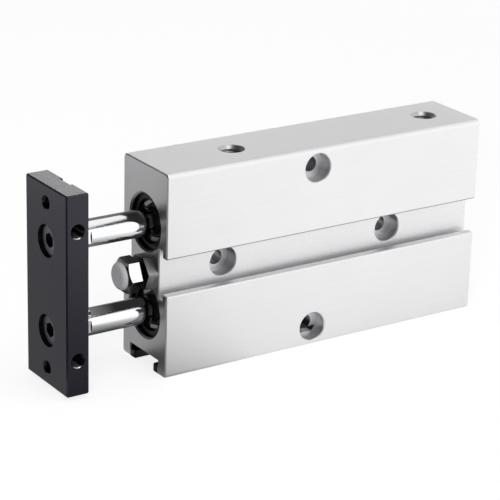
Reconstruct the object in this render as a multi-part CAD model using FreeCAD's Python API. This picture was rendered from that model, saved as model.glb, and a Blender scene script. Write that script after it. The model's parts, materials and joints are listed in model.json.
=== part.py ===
"""Twin-rod pneumatic cylinder: a flat aluminium body, two parallel rods and one end plate.

Millimetres. +Z is up, the rods run along X with the end plate towards -X, and the broad faces look
along -Y and +Y. The origin is at the middle of the base of the whole part, with the rods part way out.
"""
import FreeCAD, Part
import math
import os

Vec = FreeCAD.Vector

# Working sizes: what a designer would choose first
STROKE = 30.0
BORE_DIA = 10.0
ROD_DIA = 6.0
ROD_PITCH = 20.0
REST_EXTENSION = 10.6          # how far the plate stands off the stop bolt's pad as stored

# Body section
BODY_HEIGHT = 46.0
BODY_THICKNESS = 18.0
LONG_EDGE_RADIUS = 1.0
END_EDGE_BREAK = 0.25
SIDE_SLOT_MOUTH = 8.2          # T-slots along the middle of both broad faces
SIDE_SLOT_INNER = 11.3
SIDE_SLOT_LIP = 1.75
SIDE_SLOT_DEPTH = 3.2
BASE_SLOT_MOUTH = 7.6          # sensor T-slot along the base
BASE_SLOT_INNER = 11.4
BASE_SLOT_LIP = 1.9
BASE_SLOT_DEPTH = 3.15
SLOT_MOUTH_RADIUS = 0.4

# Front and rear closures, from each end face inwards
SEAT_STEP = 1.2                # shoulder between the bore and the seat of a gland or a cap
MOUTH_CHAMFER = 0.4
CLIP_RECESS = 1.1
CLIP_THICKNESS = 0.9
CLIP_GROOVE_DEPTH = 0.45
CLIP_WIDTH = 1.6               # radial
CLIP_GAP_START_ANGLE = 18.0    # degrees from +Z towards -Y
CLIP_GAP_END_ANGLE = 117.0
CLIP_TANG_WIDTH = 0.8          # ends of the clip, bent inwards past the rod
GLAND_LENGTH = 16.8
GLAND_FRONT_WALL = 1.2
ROD_SEAL_LENGTH = 3.0
ROD_SEAL_SECTION = 1.6         # radial
ROD_SEAL_WALL = 1.0            # between the rod seal and the bush
BUSH_WALL = 1.0
CAP_LENGTH = 4.7
CAP_CENTRE_DIA = 2.5           # lathe centre in the cap's outer face
CAP_CENTRE_DEPTH = 1.5
O_RING_SECTION = 1.2
O_RING_FROM_SEAT = 2.3         # from the seat shoulder to the middle of the O-ring
FRONT_BUMPER_THICKNESS = 1.5
REAR_BUMPER_THICKNESS = 1.5
BUMPER_INSET = 0.3             # radial, bumper inside the bore

# Pistons, from the rod's shoulder rearwards
PISTON_HUB_STEP = 1.0          # radial, hub inside the bore
PISTON_HUB_LENGTH = 3.0
PISTON_LAND = 1.0
PISTON_SEAL_WIDTH = 2.2
MAGNET_WIDTH = 4.6
WEAR_RING_WIDTH = 4.8
GROOVE_DEPTH = 1.7             # seal and magnet grooves, from the bore
WEAR_GROOVE_DEPTH = 0.9
ROD_SHOULDER = 1.0             # radial, from the rod to its threaded spigot
PISTON_NUT_FLATS = 7.0
PISTON_NUT_THICKNESS = 2.2

# Stop bolt with its pad and its lock nut, between the rods on the front face
STOP_SIDE_OFFSET = 1.7         # from the rods' plane towards -Y
STOP_DROP = 0.4                # below the middle of the body's height
STOP_THREAD_DIA = 4.0
STOP_FLATS = 7.0
STOP_HEAD_HEIGHT = 3.1
STOP_PAD_HEIGHT = 1.0          # elastic pad on the bolt's head
STOP_PAD_INSET = 0.05          # radial, pad inside the head's turned face
STOP_PAD_EDGE_RADIUS = 0.85    # well rounded, so that the pad looks domed
STOP_PAD_PEG_DIA = 2.4         # peg that holds the pad in the head
STOP_PAD_PEG_LENGTH = 1.8
STOP_NECK = 1.3                # bare thread between the head and the lock nut
STOP_BOLT_LENGTH = 12.0        # under the head
STOP_HOLE_DEPTH = 11.5
STOP_HOLE_CHAMFER = 0.4
STOP_HEAD_TURN_ANGLE = 25.0    # one corner, degrees from +Z towards +Y
LOCK_NUT_THICKNESS = 2.4
LOCK_NUT_TURN_ANGLE = 37.0
HEX_CHAMFER_ANGLE = 30.0
HEAD_FACE_SHARE = 0.88         # turned end face of the bolt's head, as a share of its flats
NUT_FACE_SHARE = 1.06          # that of a nut, which loses only the tips of its corners

# Air ports on the top face
PORT_DIA = 5.0
PORT_DEPTH = 6.0
PORT_CHAMFER = 0.45
PORT_FROM_BUMPER = 1.2         # from a bumper's face to the middle of its port
AIR_WAY_DIA = 2.0

# Mounting holes through the broad faces
MOUNT_CENTRE = 38.2            # from the body's front face
SLOT_HOLE_SPACING = 44.0
EDGE_HOLE_INSET = 4.45         # from the top face and from the base
MOUNT_HOLE_DIA = 3.4
COUNTERBORE_LEDGE = 1.55       # radial
COUNTERBORE_DEPTH = 3.3
COUNTERBORE_BREAK = 0.2

# End plate
PLATE_END_INSET = 0.8          # inside the body's top face and base
PLATE_SIDE_INSET = 0.25        # inside the body's broad faces
PLATE_THICKNESS = 5.3
PLATE_EDGE_BREAK = 0.3
PLATE_GROOVE_WIDTH = 4.6
PLATE_GROOVE_DEPTH = 0.9
PLATE_THREAD_DIA = 3.0
PLATE_THREAD_CHAMFER = 0.2
FACE_HOLE_INSET = 3.85         # from the plate's ends
SIDE_HOLE_INSET = 7.95         # from the plate's ends
SIDE_HOLE_DEPTH = 5.0
SCREW_DIA = 4.0
SCREW_HEAD_LEDGE = 1.5         # radial
SCREW_HEAD_HEIGHT = 2.4
SCREW_HEAD_RECESS = 0.8
SCREW_HEAD_EDGE = 0.3
SCREW_SOCKET_FLATS = 3.0
SCREW_SOCKET_DEPTH = 1.4
SCREW_GRIP = 5.5               # thread in the rod
ROD_THREAD_SPARE = 1.5         # rod thread beyond the screw's tip
WRENCH_FLATS = 5.3
WRENCH_FLAT_LENGTH = 3.9

# Clearances
STROKE_MARGIN = 0.25           # left at each end of the stroke
RUNNING_GAP = 0.04             # radial, between parts that slide
SEAT_GAP = 0.03                # radial, between parts that stay together
THREAD_GAP = 0.05              # radial, screw in its thread
SCREW_HOLE_GAP = 0.2           # radial, screw through a plain hole
CLIP_GAP = 0.05                # clip in its groove
TANG_GAP = 0.33                # clip's bent ends past the rod
HEAD_GAP = 0.06                # radial, screw head in its counterbore
TONGUE_GAP = 0.05              # rod tongue in the plate's groove
ROD_PASSAGE_GAP = 0.15         # radial, rod through the gland's walls
PISTON_GAP = 0.12              # radial, piston in its bore

# Worked out from the above
HALF_THICKNESS = BODY_THICKNESS / 2
MID_Z = BODY_HEIGHT / 2
SEAT_DIA = BORE_DIA + 2 * SEAT_STEP
MOUTH_DIA = SEAT_DIA + 2 * MOUTH_CHAMFER
CLIP_GROOVE_DIA = SEAT_DIA + 2 * CLIP_GROOVE_DEPTH
CLIP_DIA = CLIP_GROOVE_DIA - 2 * CLIP_GAP
ROD_SEAL_DIA = ROD_DIA + 2 * ROD_SEAL_SECTION
BUSH_DIA = ROD_DIA + 2 * BUSH_WALL
BUMPER_DIA = BORE_DIA - 2 * BUMPER_INSET
PISTON_HUB_DIA = BORE_DIA - 2 * PISTON_HUB_STEP
GROOVE_ROOT_DIA = BORE_DIA - 2 * GROOVE_DEPTH
WEAR_GROOVE_ROOT_DIA = BORE_DIA - 2 * WEAR_GROOVE_DEPTH
SPIGOT_DIA = ROD_DIA - 2 * ROD_SHOULDER
COUNTERBORE_DIA = MOUNT_HOLE_DIA + 2 * COUNTERBORE_LEDGE
SCREW_HEAD_DIA = SCREW_DIA + 2 * SCREW_HEAD_LEDGE
PLATE_HEIGHT = BODY_HEIGHT - 2 * PLATE_END_INSET
PLATE_WIDTH = BODY_THICKNESS - 2 * PLATE_SIDE_INSET
EDGE_HOLE_SPACING = BODY_HEIGHT - 2 * EDGE_HOLE_INSET
FACE_HOLE_SPACING = PLATE_HEIGHT - 2 * FACE_HOLE_INSET
SIDE_HOLE_SPACING = PLATE_HEIGHT - 2 * SIDE_HOLE_INSET
AXES = {"upper": MID_Z + ROD_PITCH / 2, "lower": MID_Z - ROD_PITCH / 2}
CLIP_ZONE = CLIP_RECESS + CLIP_THICKNESS
CLIP_MIDDLE_RADIUS = (CLIP_DIA - CLIP_WIDTH) / 2
CLIP_TANG_PASS = ROD_DIA / 2 + TANG_GAP + CLIP_TANG_WIDTH / 2
CLIP_TANG_LENGTH = math.sqrt(CLIP_MIDDLE_RADIUS ** 2 - CLIP_TANG_PASS ** 2)
CLIP_TANG_LEAN_ANGLE = math.degrees(math.asin(CLIP_TANG_PASS / CLIP_MIDDLE_RADIUS))
PISTON_LENGTH = (PISTON_HUB_LENGTH + 5 * PISTON_LAND + 2 * PISTON_SEAL_WIDTH
                 + MAGNET_WIDTH + WEAR_RING_WIDTH)
CHAMBER_LENGTH = STROKE + 2 * STROKE_MARGIN + PISTON_LENGTH + PISTON_NUT_THICKNESS
FRONT_SEAT = CLIP_ZONE + GLAND_LENGTH
FRONT_BUMPER_FACE = FRONT_SEAT + FRONT_BUMPER_THICKNESS
REAR_BUMPER_FACE = FRONT_BUMPER_FACE + CHAMBER_LENGTH
REAR_SEAT = REAR_BUMPER_FACE + REAR_BUMPER_THICKNESS
BODY_LENGTH = REAR_SEAT + CAP_LENGTH + CLIP_ZONE
HEAD_FACE_DIA = HEAD_FACE_SHARE * STOP_FLATS
STOP_PAD_DIA = HEAD_FACE_DIA - 2 * STOP_PAD_INSET
STOP_STAND_OFF = LOCK_NUT_THICKNESS + STOP_NECK + STOP_HEAD_HEIGHT + STOP_PAD_HEIGHT
PLATE_GAP = STOP_STAND_OFF + REST_EXTENSION
OVERALL_LENGTH = PLATE_THICKNESS + PLATE_GAP + BODY_LENGTH

PLATE_FRONT_X = -OVERALL_LENGTH / 2
PLATE_BACK_X = PLATE_FRONT_X + PLATE_THICKNESS
BODY_FRONT_X = PLATE_BACK_X + PLATE_GAP
BODY_REAR_X = BODY_FRONT_X + BODY_LENGTH
FRONT_SEAT_X = BODY_FRONT_X + FRONT_SEAT
REAR_SEAT_X = BODY_FRONT_X + REAR_SEAT
FRONT_PORT_X = BODY_FRONT_X + FRONT_BUMPER_FACE + PORT_FROM_BUMPER
REAR_PORT_X = BODY_FRONT_X + REAR_BUMPER_FACE - PORT_FROM_BUMPER
MOUNT_X = BODY_FRONT_X + MOUNT_CENTRE
PISTON_REAR_X = BODY_FRONT_X + REAR_BUMPER_FACE - STROKE_MARGIN - REST_EXTENSION
NUT_FRONT_X = PISTON_REAR_X - PISTON_NUT_THICKNESS
PISTON_FRONT_X = NUT_FRONT_X - PISTON_LENGTH
SCREW_SEAT_X = PLATE_FRONT_X + SCREW_HEAD_RECESS + SCREW_HEAD_HEIGHT
GLAND_FRONT_X = BODY_FRONT_X + CLIP_ZONE
ROD_SEAL_X = GLAND_FRONT_X + GLAND_FRONT_WALL
BUSH_X = ROD_SEAL_X + ROD_SEAL_LENGTH + ROD_SEAL_WALL
STOP_PLACE = Vec(0, -STOP_SIDE_OFFSET, MID_Z - STOP_DROP)
STOP_FACE_X = BODY_FRONT_X - STOP_STAND_OFF
HEAD_FACE_X = STOP_FACE_X + STOP_PAD_HEIGHT

X_DIR = Vec(1, 0, 0)
Y_DIR = Vec(0, 1, 0)
Z_DIR = Vec(0, 0, 1)


def along_x(dia, x0, x1, z):
    """Round bar along X, on the middle plane."""
    return Part.makeCylinder(dia / 2, x1 - x0, Vec(x0, 0, z), X_DIR)


def along_y(dia, x, y0, y1, z):
    """Round bar along Y."""
    return Part.makeCylinder(dia / 2, y1 - y0, Vec(x, y0, z), Y_DIR)


def along_z(dia, x, z0, z1):
    """Round bar along Z, on the middle plane."""
    return Part.makeCylinder(dia / 2, z1 - z0, Vec(x, 0, z0), Z_DIR)


def cone(mouth, direction, wide_dia, depth):
    """45 degree countersink whose wide end is at mouth, narrowing along direction."""
    return Part.makeCone(wide_dia / 2, wide_dia / 2 - depth, depth, mouth, direction)


def ring(outer_dia, inner_dia, x0, x1, z):
    """Plain ring along X."""
    return along_x(outer_dia, x0, x1, z).cut(along_x(inner_dia, x0, x1, z))


def box(x0, x1, y0, y1, z0, z1):
    """Block between two corners."""
    return Part.makeBox(x1 - x0, y1 - y0, z1 - z0, Vec(x0, y0, z0))


def hexagon_bar(flats, x0, x1, z, first_corner):
    """Hexagonal bar along X, with its first corner turned from +Z by first_corner degrees."""
    radius = flats / math.sqrt(3)
    corners = []
    for i in range(7):
        angle = math.radians(first_corner + 60 * i)
        corners.append(Vec(x0, radius * math.sin(angle), z + radius * math.cos(angle)))
    return Part.Face(Part.makePolygon(corners)).extrude(Vec(x1 - x0, 0, 0))


def round_off_hexagon(bar, face_dia, x_face, x_inner, z):
    """Bar with its corners turned to a cone, which narrows to face_dia at x_face."""
    rise = math.tan(math.radians(HEX_CHAMFER_ANGLE))
    height = abs(x_inner - x_face)
    face_radius = face_dia / 2
    direction = Vec(math.copysign(1, x_inner - x_face), 0, 0)
    turned = Part.makeCone(face_radius, face_radius + height / rise, height, Vec(x_face, 0, z), direction)
    return bar.common(turned)


def rounded_wire(corners):
    """Closed wire in the YZ plane through (y, z, radius) corners, each rounded by its radius."""
    spots = [Vec(0, y, z) for y, z, _ in corners]
    entries = []
    for i, (_, _, radius) in enumerate(corners):
        here = spots[i]
        back = (spots[i - 1] - here).normalize()
        ahead = (spots[(i + 1) % len(spots)] - here).normalize()
        half_turn = back.getAngle(ahead) / 2
        reach = radius / math.tan(half_turn)
        middle_dir = (back + ahead).normalize()
        to_middle = radius / math.sin(half_turn) - radius
        entries.append((here + back * reach, here + middle_dir * to_middle, here + ahead * reach, radius))
    edges = []
    for i, (start, middle, end, radius) in enumerate(entries):
        if radius > 0:
            edges.append(Part.Arc(start, middle, end).toShape())
        following = entries[(i + 1) % len(entries)][0]
        edges.append(Part.LineSegment(end, following).toShape())
    return Part.Wire(edges)


def t_slot(mouth, inner, lip, depth):
    """Corners of a T-slot as (across, inward, radius), from one side of its mouth to the other."""
    half = [(mouth / 2, 0.0, SLOT_MOUTH_RADIUS), (mouth / 2, lip, 0.0),
            (inner / 2, lip, 0.0), (inner / 2, depth, 0.0)]
    left = [(-across, inward, radius) for across, inward, radius in half]
    return left + half[::-1]


def body_section():
    """Outline of the extrusion: a rounded rectangle with three T-slots, seen along X."""
    side = t_slot(SIDE_SLOT_MOUTH, SIDE_SLOT_INNER, SIDE_SLOT_LIP, SIDE_SLOT_DEPTH)
    base = t_slot(BASE_SLOT_MOUTH, BASE_SLOT_INNER, BASE_SLOT_LIP, BASE_SLOT_DEPTH)
    corners = [(-HALF_THICKNESS, 0, LONG_EDGE_RADIUS)]
    corners += [(across, inward, radius) for across, inward, radius in base]
    corners += [(HALF_THICKNESS, 0, LONG_EDGE_RADIUS)]
    corners += [(HALF_THICKNESS - inward, MID_Z + across, radius) for across, inward, radius in side]
    corners += [(HALF_THICKNESS, BODY_HEIGHT, LONG_EDGE_RADIUS)]
    corners += [(-HALF_THICKNESS, BODY_HEIGHT, LONG_EDGE_RADIUS)]
    corners += [(inward - HALF_THICKNESS, MID_Z - across, radius) for across, inward, radius in side]
    return rounded_wire(corners)


def extruded_bar():
    """The extrusion cut to length, with the sharp outline of both end faces broken."""
    wire = body_section()
    wire.translate(Vec(BODY_FRONT_X, 0, 0))
    bar = Part.Face(wire).extrude(Vec(BODY_LENGTH, 0, 0))
    ends = [edge for edge in bar.Edges if edge.BoundBox.XLength < END_EDGE_BREAK]
    return bar.makeChamfer(END_EDGE_BREAK, ends)


def bore_tools(z):
    """Everything turned in one bore: chamber, end counterbores, clip grooves and mouths."""
    groove_front = CLIP_RECESS - CLIP_GAP
    groove_back = CLIP_ZONE + CLIP_GAP
    return [
        along_x(BORE_DIA, FRONT_SEAT_X, REAR_SEAT_X, z),
        along_x(SEAT_DIA, BODY_FRONT_X, FRONT_SEAT_X, z),
        along_x(SEAT_DIA, REAR_SEAT_X, BODY_REAR_X, z),
        along_x(CLIP_GROOVE_DIA, BODY_FRONT_X + groove_front, BODY_FRONT_X + groove_back, z),
        along_x(CLIP_GROOVE_DIA, BODY_REAR_X - groove_back, BODY_REAR_X - groove_front, z),
        cone(Vec(BODY_FRONT_X, 0, z), X_DIR, MOUTH_DIA, MOUTH_CHAMFER),
        cone(Vec(BODY_REAR_X, 0, z), -X_DIR, MOUTH_DIA, MOUTH_CHAMFER),
    ]


def port_tools(x):
    """One air port: thread, countersink and the drilled way that feeds both bores."""
    return [
        along_z(PORT_DIA, x, BODY_HEIGHT - PORT_DEPTH, BODY_HEIGHT),
        cone(Vec(x, 0, BODY_HEIGHT), -Z_DIR, PORT_DIA + 2 * PORT_CHAMFER, PORT_CHAMFER),
        along_z(AIR_WAY_DIA, x, AXES["lower"], BODY_HEIGHT),
    ]


def mounting_hole_tools(x, z, face):
    """Through hole with a counterbore sunk from y = -face and y = +face."""
    tools = [along_y(MOUNT_HOLE_DIA, x, -face, face, z)]
    for side in (-1, 1):
        mouth = side * face
        seat = side * (face - COUNTERBORE_DEPTH)
        tools.append(along_y(COUNTERBORE_DIA, x, min(mouth, seat), max(mouth, seat), z))
        wide = COUNTERBORE_DIA + 2 * COUNTERBORE_BREAK
        tools.append(cone(Vec(x, mouth, z), Vec(0, -side, 0), wide, COUNTERBORE_BREAK))
    return tools


def stop_hole_tools():
    """Threaded hole of the stop bolt and its countersink."""
    thread_dia = STOP_THREAD_DIA + 2 * THREAD_GAP
    wide = thread_dia + 2 * STOP_HOLE_CHAMFER
    hole = along_x(thread_dia, BODY_FRONT_X, BODY_FRONT_X + STOP_HOLE_DEPTH, 0)
    mouth = cone(Vec(BODY_FRONT_X, 0, 0), X_DIR, wide, STOP_HOLE_CHAMFER)
    return [hole.translated(STOP_PLACE), mouth.translated(STOP_PLACE)]


def make_body():
    """Extruded block with its bores, ports, stop bolt thread and mounting holes."""
    tools = []
    for z in AXES.values():
        tools += bore_tools(z)
    for x in (FRONT_PORT_X, REAR_PORT_X):
        tools += port_tools(x)
    tools += stop_hole_tools()
    for side in (-1, 1):
        slot_x = MOUNT_X + side * SLOT_HOLE_SPACING / 2
        edge_z = MID_Z + side * EDGE_HOLE_SPACING / 2
        tools += mounting_hole_tools(slot_x, MID_Z, HALF_THICKNESS - SIDE_SLOT_DEPTH)
        tools += mounting_hole_tools(MOUNT_X, edge_z, HALF_THICKNESS)
    return extruded_bar().cut(tools)


def o_ring(x, z):
    """Round-section ring that fills the groove between a gland or cap and its seat."""
    middle = (SEAT_DIA - O_RING_SECTION) / 2 - SEAT_GAP
    return Part.makeTorus(middle, O_RING_SECTION / 2 - SEAT_GAP, Vec(x, 0, z), X_DIR)


def o_ring_groove(x, z):
    """Square groove for that ring."""
    root = SEAT_DIA - 2 * SEAT_GAP - 2 * O_RING_SECTION
    return ring(SEAT_DIA, root, x - O_RING_SECTION / 2, x + O_RING_SECTION / 2, z)


def make_front_gland(z):
    """Front closure: holds the rod seal and the bush, and carries an O-ring."""
    gland = along_x(SEAT_DIA - 2 * SEAT_GAP, GLAND_FRONT_X, FRONT_SEAT_X, z)
    return gland.cut([
        along_x(ROD_DIA + 2 * ROD_PASSAGE_GAP, GLAND_FRONT_X, FRONT_SEAT_X, z),
        along_x(ROD_SEAL_DIA, ROD_SEAL_X, ROD_SEAL_X + ROD_SEAL_LENGTH, z),
        along_x(BUSH_DIA, BUSH_X, FRONT_SEAT_X, z),
        o_ring_groove(FRONT_SEAT_X - O_RING_FROM_SEAT, z),
    ])


def make_rod_seal(z):
    """Lip seal on the rod, with a V between its two lips on the pressure side."""
    rear = ROD_SEAL_X + ROD_SEAL_LENGTH
    inner = ROD_DIA + 2 * RUNNING_GAP
    outer = ROD_SEAL_DIA - 2 * SEAT_GAP
    return lip_seal(outer, inner, ROD_SEAL_X, rear, z)


def lip_seal(outer, inner, back_x, lip_x, z):
    """Ring with a V cut between its lips at lip_x, half as deep as the ring is long."""
    depth = (lip_x - back_x) / 2
    half_width = (outer - inner) / 8
    middle = (outer + inner) / 4
    notch = Part.makePolygon([
        Vec(lip_x, 0, z + middle - half_width),
        Vec(lip_x - depth, 0, z + middle),
        Vec(lip_x, 0, z + middle + half_width),
        Vec(lip_x, 0, z + middle - half_width),
    ])
    groove = Part.Face(notch).revolve(Vec(0, 0, z), X_DIR, 360)
    return ring(outer, inner, min(back_x, lip_x), max(back_x, lip_x), z).cut(groove)


def make_guide_bush(z):
    """Plain bearing for the rod, pressed into the rear of the gland."""
    return ring(BUSH_DIA - 2 * SEAT_GAP, ROD_DIA + 2 * RUNNING_GAP, BUSH_X, FRONT_SEAT_X, z)


def clip_tang(x, end_angle, lean_angle):
    """One bent-in end of a clip on the X axis: from the middle of its ring to where it passes the rod."""
    half_width = CLIP_TANG_WIDTH / 2
    tang = box(x, x + CLIP_THICKNESS, -half_width, half_width, -CLIP_TANG_LENGTH, 0)
    tang.rotate(Vec(0, 0, 0), X_DIR, lean_angle)
    tang.translate(Vec(0, 0, CLIP_MIDDLE_RADIUS))
    tang.rotate(Vec(0, 0, 0), X_DIR, end_angle)
    return tang


def make_clip(x, z):
    """Flat open ring in the clip groove, with its gap on the -Y side and both ends bent in."""
    clip = ring(CLIP_DIA, CLIP_DIA - 2 * CLIP_WIDTH, x, x + CLIP_THICKNESS, 0)
    centre = Vec(x, 0, 0)
    gap_angle = CLIP_GAP_END_ANGLE - CLIP_GAP_START_ANGLE
    gap = Part.makeCylinder(CLIP_DIA, CLIP_THICKNESS, centre, X_DIR, gap_angle)
    gap.rotate(centre, X_DIR, CLIP_GAP_START_ANGLE)
    tangs = [
        clip_tang(x, CLIP_GAP_START_ANGLE, CLIP_TANG_LEAN_ANGLE),
        clip_tang(x, CLIP_GAP_END_ANGLE, -CLIP_TANG_LEAN_ANGLE),
    ]
    return clip.cut(gap).fuse(tangs).removeSplitter().translated(Vec(0, 0, z))


def make_front_bumper(z):
    """Rubber ring behind the gland, clear of the rod."""
    inner = ROD_DIA + 2 * ROD_PASSAGE_GAP
    return ring(BUMPER_DIA, inner, FRONT_SEAT_X, FRONT_SEAT_X + FRONT_BUMPER_THICKNESS, z)


def make_rear_cap(z):
    """Rear closure: a plug with an O-ring groove and a lathe centre."""
    rear = REAR_SEAT_X + CAP_LENGTH
    cap = along_x(SEAT_DIA - 2 * SEAT_GAP, REAR_SEAT_X, rear, z)
    return cap.cut([
        o_ring_groove(REAR_SEAT_X + O_RING_FROM_SEAT, z),
        along_x(CAP_CENTRE_DIA, rear - CAP_CENTRE_DEPTH, rear, z),
    ])


def make_rear_bumper(z):
    """Rubber pad on the inner face of the rear cap."""
    return along_x(BUMPER_DIA, REAR_SEAT_X - REAR_BUMPER_THICKNESS, REAR_SEAT_X, z)


def make_lock_nut():
    """Thin hexagon nut on the body's front face, chamfered on its outer side."""
    front = BODY_FRONT_X - LOCK_NUT_THICKNESS
    nut = hexagon_bar(STOP_FLATS, front, BODY_FRONT_X, 0, LOCK_NUT_TURN_ANGLE)
    nut = round_off_hexagon(nut, NUT_FACE_SHARE * STOP_FLATS, front, BODY_FRONT_X, 0)
    nut = nut.cut(along_x(STOP_THREAD_DIA + 2 * THREAD_GAP, front, BODY_FRONT_X, 0))
    return nut.translated(STOP_PLACE)


def make_stop_bolt():
    """Hexagon bolt with a blind hole in its head for the pad's peg."""
    seat = HEAD_FACE_X + STOP_HEAD_HEIGHT
    head = hexagon_bar(STOP_FLATS, HEAD_FACE_X, seat, 0, STOP_HEAD_TURN_ANGLE)
    head = round_off_hexagon(head, HEAD_FACE_DIA, HEAD_FACE_X, seat, 0)
    tip = seat + STOP_BOLT_LENGTH
    shank = along_x(STOP_THREAD_DIA, seat, tip, 0)
    tip_edges = [edge for edge in shank.Edges if edge.BoundBox.XMin > tip - THREAD_GAP]
    shank = shank.makeChamfer(STOP_HOLE_CHAMFER, tip_edges)
    peg_end = HEAD_FACE_X + STOP_PAD_PEG_LENGTH
    peg_hole = along_x(STOP_PAD_PEG_DIA + 2 * SEAT_GAP, HEAD_FACE_X, peg_end + SEAT_GAP, 0)
    return head.fuse(shank).removeSplitter().cut(peg_hole).translated(STOP_PLACE)


def make_stop_pad():
    """Pad on the bolt's head that meets the plate when the rods are in, with a peg in the head."""
    disc = along_x(STOP_PAD_DIA, STOP_FACE_X, HEAD_FACE_X, 0)
    rim = [edge for edge in disc.Edges if edge.BoundBox.XMax < STOP_FACE_X + THREAD_GAP]
    disc = disc.makeFillet(STOP_PAD_EDGE_RADIUS, rim)
    peg = along_x(STOP_PAD_PEG_DIA, HEAD_FACE_X, HEAD_FACE_X + STOP_PAD_PEG_LENGTH, 0)
    return disc.fuse(peg).removeSplitter().translated(STOP_PLACE)


def make_end_plate():
    """Tool plate with a rear groove for the rods, screw counterbores and threaded holes."""
    half_width = PLATE_WIDTH / 2
    base = MID_Z - PLATE_HEIGHT / 2
    top = MID_Z + PLATE_HEIGHT / 2
    plate = box(PLATE_FRONT_X, PLATE_BACK_X, -half_width, half_width, base, top)
    plate = plate.makeChamfer(PLATE_EDGE_BREAK, plate.Edges)
    groove = PLATE_GROOVE_WIDTH / 2
    tools = [box(PLATE_BACK_X - PLATE_GROOVE_DEPTH, PLATE_BACK_X, -groove, groove, base, top)]
    for z in AXES.values():
        tools.append(along_x(SCREW_DIA + 2 * SCREW_HOLE_GAP, PLATE_FRONT_X, PLATE_BACK_X, z))
        tools.append(along_x(SCREW_HEAD_DIA + 2 * HEAD_GAP, PLATE_FRONT_X, SCREW_SEAT_X, z))
    wide = PLATE_THREAD_DIA + 2 * PLATE_THREAD_CHAMFER
    middle_x = (PLATE_FRONT_X + PLATE_BACK_X) / 2
    for side in (-1, 1):
        face_z = MID_Z + side * FACE_HOLE_SPACING / 2
        tools.append(along_x(PLATE_THREAD_DIA, PLATE_FRONT_X, PLATE_BACK_X, face_z))
        tools.append(cone(Vec(PLATE_FRONT_X, 0, face_z), X_DIR, wide, PLATE_THREAD_CHAMFER))
        side_z = MID_Z + side * SIDE_HOLE_SPACING / 2
        for out in (-1, 1):
            mouth = out * half_width
            end = out * (half_width - SIDE_HOLE_DEPTH)
            tools.append(along_y(PLATE_THREAD_DIA, middle_x, min(mouth, end), max(mouth, end), side_z))
            tools.append(cone(Vec(middle_x, mouth, side_z), Vec(0, -out, 0), wide, PLATE_THREAD_CHAMFER))
    return plate.cut(tools)


def make_plate_screw(z):
    """Low head socket screw, sunk in the plate and threaded into the rod's end."""
    face = PLATE_FRONT_X + SCREW_HEAD_RECESS
    tip = PLATE_BACK_X + SCREW_GRIP
    head = along_x(SCREW_HEAD_DIA, face, SCREW_SEAT_X, z)
    face_edges = [edge for edge in head.Edges if edge.BoundBox.XMax < face + THREAD_GAP]
    head = head.makeChamfer(SCREW_HEAD_EDGE, face_edges)
    screw = head.fuse(along_x(SCREW_DIA, SCREW_SEAT_X, tip, z)).removeSplitter()
    return screw.cut(hexagon_bar(SCREW_SOCKET_FLATS, face, face + SCREW_SOCKET_DEPTH, z, 0))


def make_rod(z):
    """Chromed rod: tongue and wrench flats at the plate, threaded spigot through the piston."""
    tongue_front = PLATE_BACK_X - PLATE_GROOVE_DEPTH + TONGUE_GAP
    tongue_half = PLATE_GROOVE_WIDTH / 2 - TONGUE_GAP
    shaft = along_x(ROD_DIA, tongue_front, PISTON_FRONT_X, z)
    radius = ROD_DIA / 2
    flat = WRENCH_FLATS / 2
    flats_end = PLATE_BACK_X + WRENCH_FLAT_LENGTH
    thread_end = PLATE_BACK_X + SCREW_GRIP + ROD_THREAD_SPARE
    trims = [along_x(SCREW_DIA + 2 * THREAD_GAP, tongue_front, thread_end, z)]
    for side in (-1, 1):
        near = side * tongue_half
        far = side * ROD_DIA
        trims.append(box(tongue_front, PLATE_BACK_X, min(near, far), max(near, far), z - radius, z + radius))
        near = side * flat
        trims.append(box(PLATE_BACK_X, flats_end, min(near, far), max(near, far), z - radius, z + radius))
    spigot = along_x(SPIGOT_DIA, PISTON_FRONT_X, PISTON_REAR_X, z)
    return shaft.cut(trims).fuse(spigot).removeSplitter()


def piston_stations():
    """Front face of each groove in the piston, from the rod's shoulder rearwards."""
    first_seal = PISTON_FRONT_X + PISTON_HUB_LENGTH + PISTON_LAND
    magnet = first_seal + PISTON_SEAL_WIDTH + PISTON_LAND
    wear_ring = magnet + MAGNET_WIDTH + PISTON_LAND
    second_seal = wear_ring + WEAR_RING_WIDTH + PISTON_LAND
    return {"front_seal": first_seal, "magnet": magnet, "wear_ring": wear_ring, "rear_seal": second_seal}


def make_piston(z):
    """Spool on the rod's spigot, with grooves for two seals, the magnet and the wear ring."""
    at = piston_stations()
    outer = BORE_DIA - 2 * PISTON_GAP
    hub = along_x(PISTON_HUB_DIA, PISTON_FRONT_X, PISTON_FRONT_X + PISTON_HUB_LENGTH, z)
    spool = along_x(outer, PISTON_FRONT_X + PISTON_HUB_LENGTH, NUT_FRONT_X, z).fuse(hub)
    return spool.removeSplitter().cut([
        along_x(SPIGOT_DIA + 2 * SEAT_GAP, PISTON_FRONT_X, NUT_FRONT_X, z),
        ring(BORE_DIA, GROOVE_ROOT_DIA, at["front_seal"], at["front_seal"] + PISTON_SEAL_WIDTH, z),
        ring(BORE_DIA, GROOVE_ROOT_DIA, at["rear_seal"], at["rear_seal"] + PISTON_SEAL_WIDTH, z),
        ring(BORE_DIA, GROOVE_ROOT_DIA, at["magnet"], at["magnet"] + MAGNET_WIDTH, z),
        ring(BORE_DIA, WEAR_GROOVE_ROOT_DIA, at["wear_ring"], at["wear_ring"] + WEAR_RING_WIDTH, z),
    ])


def make_piston_seals(z):
    """The two piston seals, each with its lips towards the air that it holds."""
    at = piston_stations()
    outer = BORE_DIA - 2 * RUNNING_GAP
    inner = GROOVE_ROOT_DIA + 2 * SEAT_GAP
    front = at["front_seal"]
    rear = at["rear_seal"]
    return (lip_seal(outer, inner, front + PISTON_SEAL_WIDTH, front, z),
            lip_seal(outer, inner, rear, rear + PISTON_SEAL_WIDTH, z))


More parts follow.
